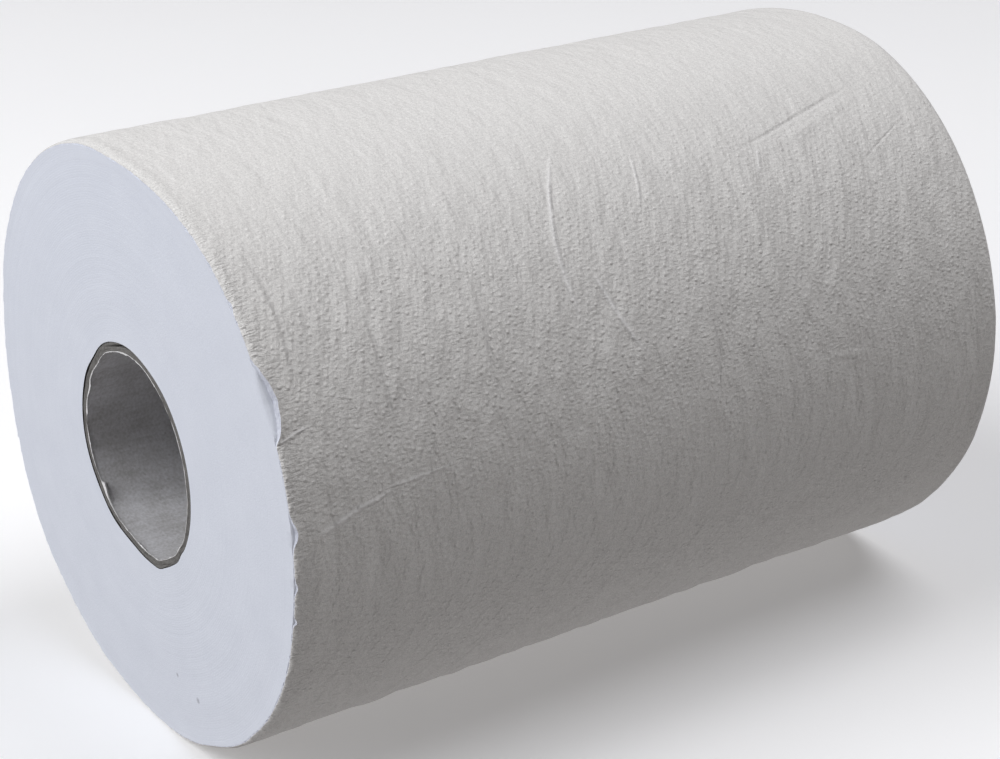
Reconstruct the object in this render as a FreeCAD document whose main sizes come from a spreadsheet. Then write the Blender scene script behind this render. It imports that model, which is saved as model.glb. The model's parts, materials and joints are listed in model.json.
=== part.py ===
"""Paper towel roll: a soft winding of embossed paper on a spiral-wound cardboard core.

The roll lies on its side, as it comes to rest on a table. Its axis runs along Y, its
photographed end faces -Y, and +Z is up. The origin is the middle of the flat spot that the
roll rests on, straight below the roll's axis.
Sizes are in millimetres.
"""
import FreeCAD, Part
import math
import os

import Sketcher

# Driving dimensions, each with a note on what it measures
SIZES = {
    "sheet_width": (200.0, "length of the roll, the width of the sheet"),
    "lobe_reach": (72.4, "from the axis to the rounded corners of the slightly squared winding"),
    "corner_offset": (11.6, "from the axis to the centre of each rounded corner"),
    "side_slack": (14.2, "how much larger the slack sides' radius is than the corners'"),
    "top_slack": (17.8, "how much larger the slack top's radius is than the corners'"),
    "flat_spot_sink": (1.0, "how deep the roll's own weight presses its underside flat"),
    "shoulder_radius": (35.5, "blend from the flat spot up into the lower corners"),
    "far_rim_radius": (2.5, "how far the soft turns round over at the far end"),
    "sheet_thickness": (0.5, "one embossed two-ply sheet, seen at its free end"),
    "tail_angle": (198.0, "place of the last sheet's free end, from +X towards +Z, in degrees"),
    "lip_from": (23.0, "lower end of the lifted edge of the last turns, in degrees from +X"),
    "lip_to": (38.0, "upper end of that lifted edge"),
    "lip_turns": (3.0, "turns of paper that lift together there"),
    "lip_lift": (2.0, "how far the edge stands away from the rounded corners' reach"),
    "lip_set_back": (1.8, "how far the lifted edge has slipped back from the end"),
    "lip_depth": (15.0, "how far along the roll the lifted edge reaches"),
    "lip_root": (1.2, "how far inside the rounded corners' reach the lifted edge starts"),
    "turn_line_start": (31.0, "radius at which the first line of the turns shows on an end"),
    "turn_line_count": (6.0, "lines of the turns that stand out on each end"),
    "turn_line_pitch": (5.8, "between one such line and the next"),
    "turn_line_width": (0.6, "width of the shallow gap between two turns"),
    "turn_line_depth": (0.3, "depth of that gap"),
    "core_diameter": (52.4, "outside of the cardboard core"),
    "core_wall": (1.75, "greyboard wall of the core"),
    "glue_gap": (0.1, "between the core and the first turn of paper"),
}

# Expressions that several features share
CORNER_RADIUS = "(Sizes.lobe_reach - Sizes.corner_offset)"
CORNER_PLACE = "(Sizes.corner_offset / sqrt(2))"
AXIS_HEIGHT = (
    f"({CORNER_PLACE} + {CORNER_RADIUS} - Sizes.sheet_thickness - Sizes.flat_spot_sink)"
)

# Names for the numbers that a sketch uses for its points and axes
START, END, CENTRE = range(1, 4)
ORIGIN = -1
X_AXIS = -1


def size(name):
    """Value of one driving dimension, for the first drawing of a sketch."""
    return SIZES[name][0]


def add_sheet(doc):
    """Put the driving dimensions in the document's spreadsheet, one row each."""
    sheet = doc.addObject("Spreadsheet::Sheet", "Sizes")
    for row, (name, (value, note)) in enumerate(SIZES.items(), start=1):
        sheet.set(f"A{row}", str(value))
        sheet.setAlias(f"A{row}", name)
        sheet.set(f"B{row}", note)
    doc.recompute()
    return sheet


def add_body(doc, label):
    """A body round the roll's axis, lifted to the height at which the roll rests."""
    body = doc.addObject("PartDesign::Body", label)
    body.Label = label
    body.setExpression("Placement.Base.z", AXIS_HEIGHT)
    return body


def add_section_sketch(body, name):
    """An empty sketch across the roll: sketch x is X, sketch y is Z."""
    sketch = body.newObject("Sketcher::SketchObject", name)
    plane = next(part for part in body.Origin.OriginFeatures if part.Role == "XZ_Plane")
    sketch.AttachmentSupport = [(plane, "")]
    sketch.MapMode = "FlatFace"
    return sketch


def bind(sketch, name, constraint, expression):
    """Add a named constraint and tie its value to the spreadsheet."""
    sketch.addConstraint(constraint)
    sketch.renameConstraint(sketch.ConstraintCount - 1, name)
    sketch.setExpression(f"Constraints.{name}", expression)


def pad_across(body, sketch, name):
    """Pad a section to the sheet's width, half to each side of the middle."""
    pad = body.newObject("PartDesign::Pad", name)
    pad.Profile = sketch
    pad.Midplane = True
    pad.setExpression("Length", "Sizes.sheet_width")
    return pad


def arc(centre, radius, start, end):
    """Arc of a circle, anticlockwise between two angles in radians."""
    circle = Part.Circle(FreeCAD.Vector(*centre, 0), FreeCAD.Vector(0, 0, 1), radius)
    return Part.ArcOfCircle(circle, start, end)


def direction(start, end):
    """Angle of the way from one point to another, from 0 up to a full turn."""
    return math.atan2(end[1] - start[1], end[0] - start[0]) % math.tau


def winding_arcs():
    """Places, radii and end angles of the winding's arcs, worked out from the sizes."""
    corner = size("lobe_reach") - size("corner_offset")
    place = size("corner_offset") / math.sqrt(2)
    floor = -(place + corner - size("sheet_thickness") - size("flat_spot_sink"))
    side_shift = math.sqrt(size("side_slack") ** 2 - place ** 2) - place
    top_shift = math.sqrt(size("top_slack") ** 2 - place ** 2) - place
    return corner, place, floor, side_shift, top_shift


def shoulder_centre(corner_radius):
    """Centre of the right shoulder, which rolls from the floor into such a corner."""
    _, place, floor, _, _ = winding_arcs()
    height = floor + size("shoulder_radius")
    reach = corner_radius - size("shoulder_radius")
    return place + math.sqrt(reach ** 2 - (height + place) ** 2), height


def mirrored(point):
    """The same point on the other side of the roll's upright middle."""
    return -point[0], point[1]


def draw_winding_outline(sketch):
    """Draw the outline of all the turns anticlockwise from its flat spot, as tangent arcs.

    Four rounded corners are joined by slack sides of larger radius, and below, two
    shoulders run into the flat spot.
    """
    corner, place, floor, side_shift, top_shift = winding_arcs()
    shoulder = size("shoulder_radius")
    side = corner + size("side_slack")
    top = corner + size("top_slack")
    right_side, top_side = (-side_shift, 0), (0, -top_shift)
    right_shoulder = shoulder_centre(corner)

    low = direction((place, -place), right_shoulder)
    up = direction(right_side, (place, place))
    over = direction(top_side, (place, place))
    down = 1.5 * math.pi
    flat_end = FreeCAD.Vector(right_shoulder[0], floor, 0)
    flat_start = FreeCAD.Vector(-right_shoulder[0], floor, 0)
    outline = [
        Part.LineSegment(flat_start, flat_end),
        arc(right_shoulder, shoulder, down, low),
        arc((place, -place), corner, low, math.tau - up),
        arc(right_side, side, -up, up),
        arc((place, place), corner, up, over),
        arc(top_side, top, over, math.pi - over),
        arc((-place, place), corner, math.pi - over, math.pi - up),
        arc(mirrored(right_side), side, math.pi - up, math.pi + up),
        arc((-place, -place), corner, math.pi + up, 3 * math.pi - low),
        arc(mirrored(right_shoulder), shoulder, 3 * math.pi - low, down),
    ]
    sketch.addGeometry(outline, False)


def join_tangent(sketch, chain):
    """Join arcs and lines end to start, without a kink."""
    for first, second in zip(chain, chain[1:]):
        sketch.addConstraint(Sketcher.Constraint("Tangent", first, END, second, START))


def place_centre(sketch, name, geometry, across, up):
    """Tie an arc's centre to a corner's place, right or left and above or below the axis."""
    place = size("corner_offset") / math.sqrt(2)
    for way, kind, sign in (("across", "DistanceX", across), ("up", "DistanceY", up)):
        bind(sketch, f"{name}_{way}",
             Sketcher.Constraint(kind, ORIGIN, START, geometry, CENTRE, sign * place),
             f"{sign} * {CORNER_PLACE}")


def bind_radius(sketch, name, geometry, expression):
    """Tie an arc's radius to the spreadsheet."""
    drawn = sketch.Geometry[geometry].Radius
    bind(sketch, name, Sketcher.Constraint("Radius", geometry, drawn), expression)


def bind_floor(sketch, geometry, point):
    """Tie a point of the flat spot to its depth below the roll's axis."""
    _, _, floor, _, _ = winding_arcs()
    bind(sketch, "axis_height",
         Sketcher.Constraint("DistanceY", geometry, point, ORIGIN, START, -floor), AXIS_HEIGHT)


def constrain_winding_outline(sketch):
    """Make the outline tangent all round and tie its sizes to the spreadsheet."""
    flat, shoulder_right, lower_right, right, upper_right = range(5)
    top, upper_left, left, lower_left, shoulder_left = range(5, 10)
    join_tangent(sketch, list(range(10)) + [flat])
    sketch.addConstraint(Sketcher.Constraint("Horizontal", flat))
    corners = (
        ("lower_right", lower_right, 1, -1),
        ("upper_right", upper_right, 1, 1),
        ("upper_left", upper_left, -1, 1),
        ("lower_left", lower_left, -1, -1),
    )
    for name, geometry, across, up in corners:
        place_centre(sketch, name, geometry, across, up)
        bind_radius(sketch, f"{name}_radius", geometry, CORNER_RADIUS)
    for name, geometry in (("right_side", right), ("left_side", left)):
        bind_radius(sketch, name, geometry, f"{CORNER_RADIUS} + Sizes.side_slack")
    bind_radius(sketch, "top_side", top, f"{CORNER_RADIUS} + Sizes.top_slack")
    for name, geometry in (("right_shoulder", shoulder_right), ("left_shoulder", shoulder_left)):
        bind_radius(sketch, name, geometry, "Sizes.shoulder_radius")
    bind_floor(sketch, flat, START)


def add_far_rim(body, pad):
    """Round over the rim of the far end, where the soft outer turns lie in."""
    far = size("sheet_width") / 2
    names = [
        f"Edge{number}" for number, edge in enumerate(pad.Shape.Edges, start=1)
        if all(abs(corner.Y - far) < 1e-6 for corner in edge.Vertexes)
    ]
    rim = body.newObject("PartDesign::Fillet", "far_rim")
    rim.Base = (pad, names)
    rim.setExpression("Radius", "Sizes.far_rim_radius")
    return rim


def draw_tail_cut(sketch):
    """Draw what the last sheet leaves bare, from its free end down to the flat spot.

    The inner side runs one sheet's thickness inside the winding's outline and rolls into
    the flat spot with its own shoulder. The outer side lies clear of the winding.
    """
    corner, place, floor, side_shift, _ = winding_arcs()
    thickness, shoulder = size("sheet_thickness"), size("shoulder_radius")
    side_centre = (side_shift, 0)
    below = mirrored(shoulder_centre(corner - thickness))
    side = corner + size("side_slack") - thickness
    tail = math.radians(size("tail_angle"))
    side_end = direction(side_centre, (-place, -place))
    corner_end = direction((-place, -place), below)

    free_end = FreeCAD.Vector(side_shift + side * math.cos(tail), side * math.sin(tail), 0)
    outward = FreeCAD.Vector(math.cos(tail), math.sin(tail), 0) * size("lobe_reach") / 4
    outer_top = free_end + outward
    floor_end = FreeCAD.Vector(below[0], floor, 0)
    under = FreeCAD.Vector(below[0], floor - size("lobe_reach") / 4, 0)
    outer_low = FreeCAD.Vector(outer_top.x, under.y, 0)
    sketch.addGeometry([
        Part.LineSegment(outer_top, free_end),
        arc(side_centre, side, tail, side_end),
        arc((-place, -place), corner - thickness, side_end, corner_end),
        arc(below, shoulder, corner_end, 1.5 * math.pi),
        Part.LineSegment(floor_end, under),
        Part.LineSegment(under, outer_low),
        Part.LineSegment(outer_low, outer_top),
    ], False)


def constrain_tail_cut(sketch):
    """Tie the free end of the last sheet to its angle and thickness."""
    tail_edge, side, corner, shoulder, drop, across, rise = range(7)
    margin = size("lobe_reach") / 4
    sketch.addConstraint(Sketcher.Constraint("Coincident", tail_edge, END, side, START))
    join_tangent(sketch, [side, corner, shoulder])
    for first, second in ((shoulder, drop), (drop, across), (across, rise), (rise, tail_edge)):
        sketch.addConstraint(Sketcher.Constraint("Coincident", first, END, second, START))
    for kind, geometry in (("Vertical", drop), ("Horizontal", across), ("Vertical", rise)):
        sketch.addConstraint(Sketcher.Constraint(kind, geometry))
    sketch.addConstraint(Sketcher.Constraint("PointOnObject", side, CENTRE, X_AXIS))
    sketch.addConstraint(Sketcher.Constraint("PointOnObject", side, CENTRE, tail_edge))
    sketch.addConstraint(Sketcher.Constraint("PointOnObject", shoulder, CENTRE, drop))
    place_centre(sketch, "lower_left", corner, -1, -1)
    bind_radius(sketch, "bare_corner", corner, f"{CORNER_RADIUS} - Sizes.sheet_thickness")
    bind_radius(sketch, "bare_side", side,
                f"{CORNER_RADIUS} + Sizes.side_slack - Sizes.sheet_thickness")
    bind_radius(sketch, "bare_shoulder", shoulder, "Sizes.shoulder_radius")
    bind_floor(sketch, shoulder, END)
    bind(sketch, "tail_angle",
         Sketcher.Constraint("Angle", tail_edge, math.radians(size("tail_angle") - 180)),
         "(Sizes.tail_angle - 180) * 1 deg")
    for name, geometry in (("clear_outside", tail_edge), ("clear_below", drop)):
        bind(sketch, name, Sketcher.Constraint("Distance", geometry, margin),
             "Sizes.lobe_reach / 4")


def add_tail(body):
    """Leave the last sheet's free end standing, one thickness proud of the turn below."""
    sketch = add_section_sketch(body, "tail_section")
    draw_tail_cut(sketch)
    constrain_tail_cut(sketch)
    return cut_through(body, sketch, "last_sheet_tail")


def cut_through(body, sketch, name):
    """Cut a section right through the body, both ways along the roll."""
    pocket = body.newObject("PartDesign::Pocket", name)
    pocket.Profile = sketch
    pocket.Type = "ThroughAll"
    pocket.Midplane = True
    return pocket


def draw_lifted_edge(sketch, lift):
    """Draw the last turns' band of paper between the lip's two ends, bowed out by a lift.

    Its outer side is one arc through both roots and the crest, its inner side the same
    arc further in by the lifted turns' thickness.
    """
    root = size("lobe_reach") - size("lip_root")
    crest = root + lift
    middle = math.radians(size("lip_from") + size("lip_to")) / 2
    half_span = math.radians(size("lip_to") - size("lip_from")) / 2
    bow_place = (crest ** 2 - root ** 2) / (2 * (crest - root * math.cos(half_span)))
    half_bow = math.atan2(root * math.sin(half_span), root * math.cos(half_span) - bow_place)
    centre = (bow_place * math.cos(middle), bow_place * math.sin(middle))
    radius = crest - bow_place
    outside = arc(centre, radius, middle - half_bow, middle + half_bow)
    band = size("lip_turns") * size("sheet_thickness")
    inside = arc(centre, radius - band, middle - half_bow, middle + half_bow)
    sketch.addGeometry([
        outside,
        inside,
        Part.LineSegment(inside.StartPoint, outside.StartPoint),
        Part.LineSegment(outside.EndPoint, inside.EndPoint),
        Part.Point(FreeCAD.Vector(crest * math.cos(middle), crest * math.sin(middle), 0)),
    ], False)
    sketch.setConstruction(4, True)


def constrain_lifted_edge(sketch, lift):
    """Tie the band's roots and crest to their angles and its thickness to its turns."""
    outside, inside, low_end, high_end, crest = range(5)
    root = "(Sizes.lobe_reach - Sizes.lip_root)"
    joints = (
        (low_end, START, inside, START),
        (low_end, END, outside, START),
        (high_end, START, outside, END),
        (high_end, END, inside, END),
        (inside, CENTRE, outside, CENTRE),
    )
    for joint in joints:
        sketch.addConstraint(Sketcher.Constraint("Coincident", *joint))
    sketch.addConstraint(Sketcher.Constraint("PointOnObject", crest, START, outside))
    for end in (low_end, high_end):
        sketch.addConstraint(Sketcher.Constraint("PointOnObject", outside, CENTRE, end))
    places = (
        ("low", outside, START, root, "Sizes.lip_from"),
        ("high", outside, END, root, "Sizes.lip_to"),
        ("crest", crest, START, f"({root} + {lift})", "(Sizes.lip_from + Sizes.lip_to) / 2"),
    )
    for name, geometry, point, reach, angle in places:
        drawn = sketch.getPoint(geometry, point)
        for kind, function, value in (("DistanceX", "cos", drawn.x), ("DistanceY", "sin", drawn.y)):
            bind(sketch, f"{name}_{function}",
                 Sketcher.Constraint(kind, ORIGIN, START, geometry, point, value),
                 f"{reach} * {function}({angle} * 1 deg)")
    bind(sketch, "band",
         Sketcher.Constraint("Distance", low_end, size("lip_turns") * size("sheet_thickness")),
         "Sizes.lip_turns * Sizes.sheet_thickness")


def add_lifted_edge(body):
    """Loft the edge of the last turns that slipped back and stands off at the near end."""
    sections = (
        ("lip_edge", "Sizes.lip_lift + Sizes.lip_root",
         size("lip_lift") + size("lip_root"), "Sizes.sheet_width / 2 - Sizes.lip_set_back"),
        ("lip_inner_end", "0", 0, "Sizes.sheet_width / 2 - Sizes.lip_depth"),
    )
    sketches = []
    for name, lift, drawn_lift, toward_near_end in sections:
        sketch = add_section_sketch(body, name)
        sketch.setExpression("AttachmentOffset.Base.z", toward_near_end)
        draw_lifted_edge(sketch, drawn_lift)
        constrain_lifted_edge(sketch, lift)
        sketches.append(sketch)
    loft = body.newObject("PartDesign::AdditiveLoft", "lifted_edge")
    loft.Profile = sketches[0]
    loft.Sections = sketches[1:]
    loft.Ruled = True
    return loft


def add_turn_lines(body, name, side):
    """Cut the shallow flat spiral that shows between the turns on one end.

    It runs outward the way the paper was wound, over the top towards the last sheet's free
    end. The notch is drawn in the plane that holds the roll's axis, with side -1 for the
    near end and +1 for the far end.
    """
    half_width, depth = size("turn_line_width") / 2, size("turn_line_depth")
    start, face = size("turn_line_start"), side * size("sheet_width") / 2
    sketch = body.newObject("Sketcher::SketchObject", f"{name}_notch")
    plane = next(part for part in body.Origin.OriginFeatures if part.Role == "XY_Plane")
    sketch.AttachmentSupport = [(plane, "")]
    sketch.MapMode = "FlatFace"
    corners = [
        FreeCAD.Vector(start - half_width, face, 0),
        FreeCAD.Vector(start, face - side * depth, 0),
        FreeCAD.Vector(start + half_width, face, 0),
    ]
    for first, second in zip(corners, corners[1:] + corners[:1]):
        sketch.addGeometry(Part.LineSegment(first, second), False)
    for first, second in ((0, 1), (1, 2), (2, 0)):
        sketch.addConstraint(Sketcher.Constraint("Coincident", first, END, second, START))
    sketch.addConstraint(Sketcher.Constraint("Horizontal", 2))
    places = (
        ("inner_edge", "DistanceX", 0, START, start - half_width,
         "Sizes.turn_line_start - Sizes.turn_line_width / 2"),
        ("outer_edge", "DistanceX", 1, END, start + half_width,
         "Sizes.turn_line_start + Sizes.turn_line_width / 2"),
        ("bottom", "DistanceX", 0, END, start, "Sizes.turn_line_start"),
        ("face", "DistanceY", 0, START, face, f"{side} * Sizes.sheet_width / 2"),
        ("bottom_depth", "DistanceY", 0, END, face - side * depth,
         f"{side} * (Sizes.sheet_width / 2 - Sizes.turn_line_depth)"),
    )
    for label, kind, geometry, point, value, expression in places:
        bind(sketch, label,
             Sketcher.Constraint(kind, ORIGIN, START, geometry, point, value), expression)
    body.Document.recompute()
    spiral = body.newObject("PartDesign::SubtractiveHelix", name)
    spiral.Profile = sketch
    axis = next(part for part in body.Origin.OriginFeatures if part.Role == "Y_Axis")
    spiral.ReferenceAxis = (axis, [""])
    spiral.Mode = "height-turns-growth"
    spiral.Height = 0
    spiral.LeftHanded = True
    spiral.setExpression("Turns", "Sizes.turn_line_count")
    spiral.setExpression("Growth", "Sizes.turn_line_pitch")
    return spiral


def add_bore(body, name, diameter):
    """Cut a round hole along the roll's axis, right through the body."""
    sketch = add_section_sketch(body, f"{name}_circle")
    sketch.addGeometry(
        Part.Circle(FreeCAD.Vector(), FreeCAD.Vector(0, 0, 1), size("core_diameter") / 2), False
    )
    sketch.addConstraint(Sketcher.Constraint("Coincident", 0, CENTRE, ORIGIN, START))
    bind(sketch, "bore_diameter",
         Sketcher.Constraint("Diameter", 0, size("core_diameter")), diameter)
    return cut_through(body, sketch, name)


def make_towel_winding(doc):
    """All the turns of paper as one soft solid, with the hole that the core fills."""
    body = add_body(doc, "towel_winding")
    sketch = add_section_sketch(body, "winding_section")
    draw_winding_outline(sketch)
    constrain_winding_outline(sketch)
    pad = pad_across(body, sketch, "wound_paper")
    doc.recompute()
    add_far_rim(body, pad)
    add_tail(body)
    add_bore(body, "core_seat", "Sizes.core_diameter + 2 * Sizes.glue_gap")
    add_lifted_edge(body)
    add_turn_lines(body, "near_turn_lines", -1)
    add_turn_lines(body, "far_turn_lines", 1)
    return body


def make_core_tube(doc):
    """The cardboard tube that the paper is wound on, cut off flush with its ends."""
    body = add_body(doc, "core_tube")
    sketch = add_section_sketch(body, "core_section")
    sketch.addGeometry(
        Part.Circle(FreeCAD.Vector(), FreeCAD.Vector(0, 0, 1), size("core_diameter") / 2), False
    )
    sketch.addConstraint(Sketcher.Constraint("Coincident", 0, CENTRE, ORIGIN, START))
    bind(sketch, "core_outside",
         Sketcher.Constraint("Diameter", 0, size("core_diameter")), "Sizes.core_diameter")
    pad_across(body, sketch, "core_blank")
    add_bore(body, "core_bore", "Sizes.core_diameter - 2 * Sizes.core_wall")
    return body


def check(doc, bodies):
    """Stop if any feature failed or a body is not one valid solid."""
    for item in doc.Objects:
        if "Invalid" in item.State or "Error" in item.State:
            raise RuntimeError(f"{item.Label} did not compute")
    for body in bodies:
        shape = body.Shape
        if shape.isNull() or not shape.isValid() or len(shape.Solids) != 1:
            raise RuntimeError(f"{body.Label} is not one valid solid")


def main():
    """Build the roll and write one STEP file for each piece."""
    doc = FreeCAD.newDocument("paper_towel_roll")
    add_sheet(doc)
    bodies = [make_towel_winding(doc), make_core_tube(doc)]
    doc.recompute()
    check(doc, bodies)
    os.makedirs("parts", exist_ok=True)
    for body in bodies:
        body.Shape.exportStep(f"parts/{body.Label}.step")
        box = body.Shape.optimalBoundingBox(False)
        print(f"{body.Label}: {box.XLength:.2f} x {box.YLength:.2f} x {box.ZLength:.2f} mm,"
              f" lowest {box.ZMin:.3f}, {body.Shape.Volume / 1000:.1f} cm3")


main()
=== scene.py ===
"""Paper towel roll, dressed: embossed paper wound on a greyboard core, on a pale floor.

The roll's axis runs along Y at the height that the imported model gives, and the photographed
end faces -Y. An angle on the roll is counted from +X towards +Z. Lengths are in metres.
"""
import json
import logging
import math
from collections.abc import Callable
from dataclasses import dataclass, field
from enum import Enum, IntEnum

import bpy
import numpy as np
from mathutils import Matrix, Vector


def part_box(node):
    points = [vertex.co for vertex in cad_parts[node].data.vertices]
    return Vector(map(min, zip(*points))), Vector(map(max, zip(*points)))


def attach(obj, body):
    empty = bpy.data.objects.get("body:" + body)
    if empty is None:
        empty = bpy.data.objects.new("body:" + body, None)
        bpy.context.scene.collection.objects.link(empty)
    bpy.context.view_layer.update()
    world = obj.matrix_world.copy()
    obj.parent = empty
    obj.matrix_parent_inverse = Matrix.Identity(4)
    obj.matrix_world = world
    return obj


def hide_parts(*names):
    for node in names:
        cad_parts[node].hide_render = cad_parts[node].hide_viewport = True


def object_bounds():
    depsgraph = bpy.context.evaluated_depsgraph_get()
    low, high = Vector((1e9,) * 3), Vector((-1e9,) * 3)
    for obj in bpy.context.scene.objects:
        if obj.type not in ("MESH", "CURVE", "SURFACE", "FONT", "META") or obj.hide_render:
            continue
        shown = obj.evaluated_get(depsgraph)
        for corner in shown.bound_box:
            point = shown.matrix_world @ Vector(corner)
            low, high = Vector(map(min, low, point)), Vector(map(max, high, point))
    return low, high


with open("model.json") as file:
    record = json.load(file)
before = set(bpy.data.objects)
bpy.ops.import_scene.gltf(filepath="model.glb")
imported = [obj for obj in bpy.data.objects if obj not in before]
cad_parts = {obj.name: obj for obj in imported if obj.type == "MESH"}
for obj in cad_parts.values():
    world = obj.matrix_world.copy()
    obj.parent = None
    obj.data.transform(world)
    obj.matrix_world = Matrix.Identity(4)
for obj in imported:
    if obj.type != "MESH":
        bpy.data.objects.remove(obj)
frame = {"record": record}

CAD_LOW, CAD_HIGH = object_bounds()
MM = 0.001
UNROLLED = "unrolled"
LOG = logging.getLogger("paper_towel_roll")
Colour = tuple[float, float, float, float]


@dataclass(frozen=True)
class RollSizes:
    """Sizes of the roll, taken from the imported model.

    Args:
        half_length: half the sheet's width, along Y.
        axis_height: height of the roll's axis above the floor.
        core_outside: outer radius of the core.
        core_inside: radius of the core's bore.
        mean_radius: the radius that the photograph's proportions are given in.
    """

    half_length: float
    axis_height: float
    core_outside: float
    core_inside: float
    mean_radius: float = 71.5 * MM

    @classmethod
    def from_frame(cls) -> "RollSizes":
        """Read the sizes from the two nodes' boxes and the bore's mount."""
        _, winding_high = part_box("towel_winding")
        core_low, core_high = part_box("core_tube")
        bore = next(m for m in frame["record"]["mounts"] if m["name"] == "core_bore")
        return cls(
            half_length=winding_high.y,
            axis_height=(core_low.z + core_high.z) / 2,
            core_outside=(core_high.z - core_low.z) / 2,
            core_inside=bore["dims"]["r_mm"] * MM,
        )


def smooth_step(low: float, high: float, value: np.ndarray) -> np.ndarray:
    """Rise smoothly from 0 at low to 1 at high."""
    share = np.clip((value - low) / (high - low), 0.0, 1.0)
    return share * share * (3.0 - 2.0 * share)


def hump(centre: float, width: float, value: np.ndarray) -> np.ndarray:
    """A round hump of height 1 and the given half width."""
    return np.exp(-((value - centre) / width) ** 2)


@dataclass
class SoftNoise:
    """Smooth seeded noise on the unrolled surface, closed round the roll.

    Args:
        seed: the seed of its random values.
        around: how many cells lie round the roll.
        along: how many cells lie along it.
    """

    seed: int
    around: int
    along: int
    grid: np.ndarray = field(init=False)

    def __post_init__(self) -> None:
        """Draw the random values at the cells' corners."""
        draw = np.random.default_rng(self.seed)
        self.grid = draw.uniform(-1.0, 1.0, (self.around, self.along + 2))

    def at(self, turn: np.ndarray, along: np.ndarray) -> np.ndarray:
        """Value of the noise, from -1 to 1.

        Args:
            turn: place round the roll, 0 to 1 for a full turn.
            along: place along the roll, 0 to 1.
        Returns:
            One value for each place.
        """
        across = (turn % 1.0) * self.around
        down = np.clip(along, 0.0, 1.0) * self.along
        column = np.floor(across).astype(int)
        row = np.floor(down).astype(int)
        right = smooth_step(0.0, 1.0, across - column)
        below = smooth_step(0.0, 1.0, down - row)
        following = (column + 1) % self.around
        column = column % self.around
        upper = self.grid[column, row] * (1 - right) + self.grid[following, row] * right
        lower = self.grid[column, row + 1] * (1 - right) + self.grid[following, row + 1] * right
        return upper * (1 - below) + lower * below


class EndShape(Enum):
    """Outline of the winding at each end: angle in degrees and reach over the mean radius."""

    NEAR = (
        (0, 1.000), (12, 1.009), (38, 1.012), (55, 1.011), (66, 0.999), (80, 0.981), (92, 0.980),
        (104, 1.001), (118, 1.009), (138, 1.014), (155, 1.009), (172, 0.981), (192, 0.980),
        (204, 1.003), (218, 1.013), (232, 0.984), (246, 0.972), (258, 0.950), (270, 0.950),
        (284, 0.962), (298, 0.964), (310, 0.976), (325, 0.984), (345, 0.999),
    )
    FAR = (
        (0, 0.996), (20, 0.997), (36, 1.001), (52, 1.014), (70, 1.014), (86, 0.995), (102, 0.992),
        (118, 1.004), (138, 1.012), (158, 1.000), (178, 0.984), (200, 0.996), (218, 1.010),
        (236, 0.984), (250, 0.968), (262, 0.952), (276, 0.950), (290, 0.964), (304, 0.984),
        (322, 0.987), (334, 0.991), (348, 0.994),
    )

    def reach(self, degrees: np.ndarray) -> np.ndarray:
        """Reach of the outline over the mean radius, rounded between its points.

        Args:
            degrees: angles on the roll.
        Returns:
            The reach at each angle.
        """
        angles, reaches = zip(*self.value)
        fine = np.arange(0.0, 360.0, 0.5)
        drawn = np.interp(fine, angles, reaches, period=360.0)
        window = np.exp(-(np.arange(-24, 25) / 9.0) ** 2)
        window /= window.sum()
        wrapped = np.concatenate([drawn[-24:], drawn, drawn[:24]])
        rounded = np.convolve(wrapped, window, mode="valid")
        return np.interp(degrees % 360.0, fine, rounded, period=360.0)


@dataclass(frozen=True)
class Crease:
    """One crease in the outer sheet, which runs along a parabola through three points.

    Each point is the distance from the near end over the mean radius, and the angle in degrees.

    Args:
        start: one end of the crease.
        middle: a point between its ends.
        end: its other end.
        rise: how far it stands out in millimetres, negative for a groove.
        width: its half width in millimetres.
    """

    start: tuple[float, float]
    middle: tuple[float, float]
    end: tuple[float, float]
    rise: float
    width: float

    def is_line(self) -> bool:
        """Whether it is too narrow for the mesh and is drawn as a fine line."""
        return self.width < 0.75

    def curve(self, sizes: RollSizes) -> tuple[np.ndarray, float, float]:
        """Distance from the near end as a polynomial of the length round the roll.

        Args:
            sizes: the roll's sizes.
        Returns:
            The polynomial, highest power first, and the lengths round the roll at the two ends.
        """
        points = (self.start, self.middle, self.end)
        around = [unrolled_angle(degrees) * sizes.mean_radius for _, degrees in points]
        along = [place * sizes.mean_radius for place, _ in points]
        return np.polyfit(around, along, 2), min(around), max(around)

    def height(self, from_near: np.ndarray, around: np.ndarray, sizes: RollSizes) -> np.ndarray:
        """Height of the crease on the mesh.

        Args:
            from_near: distances from the near end.
            around: lengths round the roll.
            sizes: the roll's sizes.
        Returns:
            The height at each point.
        """
        curve, first, last = self.curve(sizes)
        tilt = np.polyval(np.polyder(curve), around)
        away = (from_near - np.polyval(curve, around)) / np.sqrt(1.0 + tilt * tilt)
        fade = 0.3 * (last - first)
        ends = smooth_step(first, first + fade, around) * smooth_step(last, last - fade, around)
        return self.rise * MM * ends * hump(0.0, self.width * MM, away)

    def line(self, from_near: "Field", around: "Field", sizes: RollSizes) -> "Field":
        """The crease as a fine line of the material.

        Args:
            from_near: distance from the near end.
            around: length round the roll.
            sizes: the roll's sizes.
        Returns:
            The line, from 0 to 1.
        """
        (bend, slope, place), first, last = self.curve(sizes)
        tilt = 2.0 * bend * (first + last) / 2.0 + slope
        away = from_near - ((around * bend + slope) * around + place)
        away = away.sheet.calculate("ABSOLUTE", away) / math.sqrt(1.0 + tilt * tilt)
        fade = 0.3 * (last - first)
        ends = around.rise(first, first + fade) * around.rise(last, last - fade)
        return ends * away.rise(1.6 * self.width * MM, 0.0)


# Where the last sheet ends and the relief changes, in degrees, and the relief's strengths
TAIL_ANGLE = 198.0
FULL_RELIEF_ANGLE = 375.0
FLAT_RELIEF_ANGLE = 435.0
FLAT_RELIEF = 0.45
SIDE_RELIEF = 1.75
BACK_RELIEF = 0.75
UNDERSIDE_ANGLE = 290.0


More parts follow.
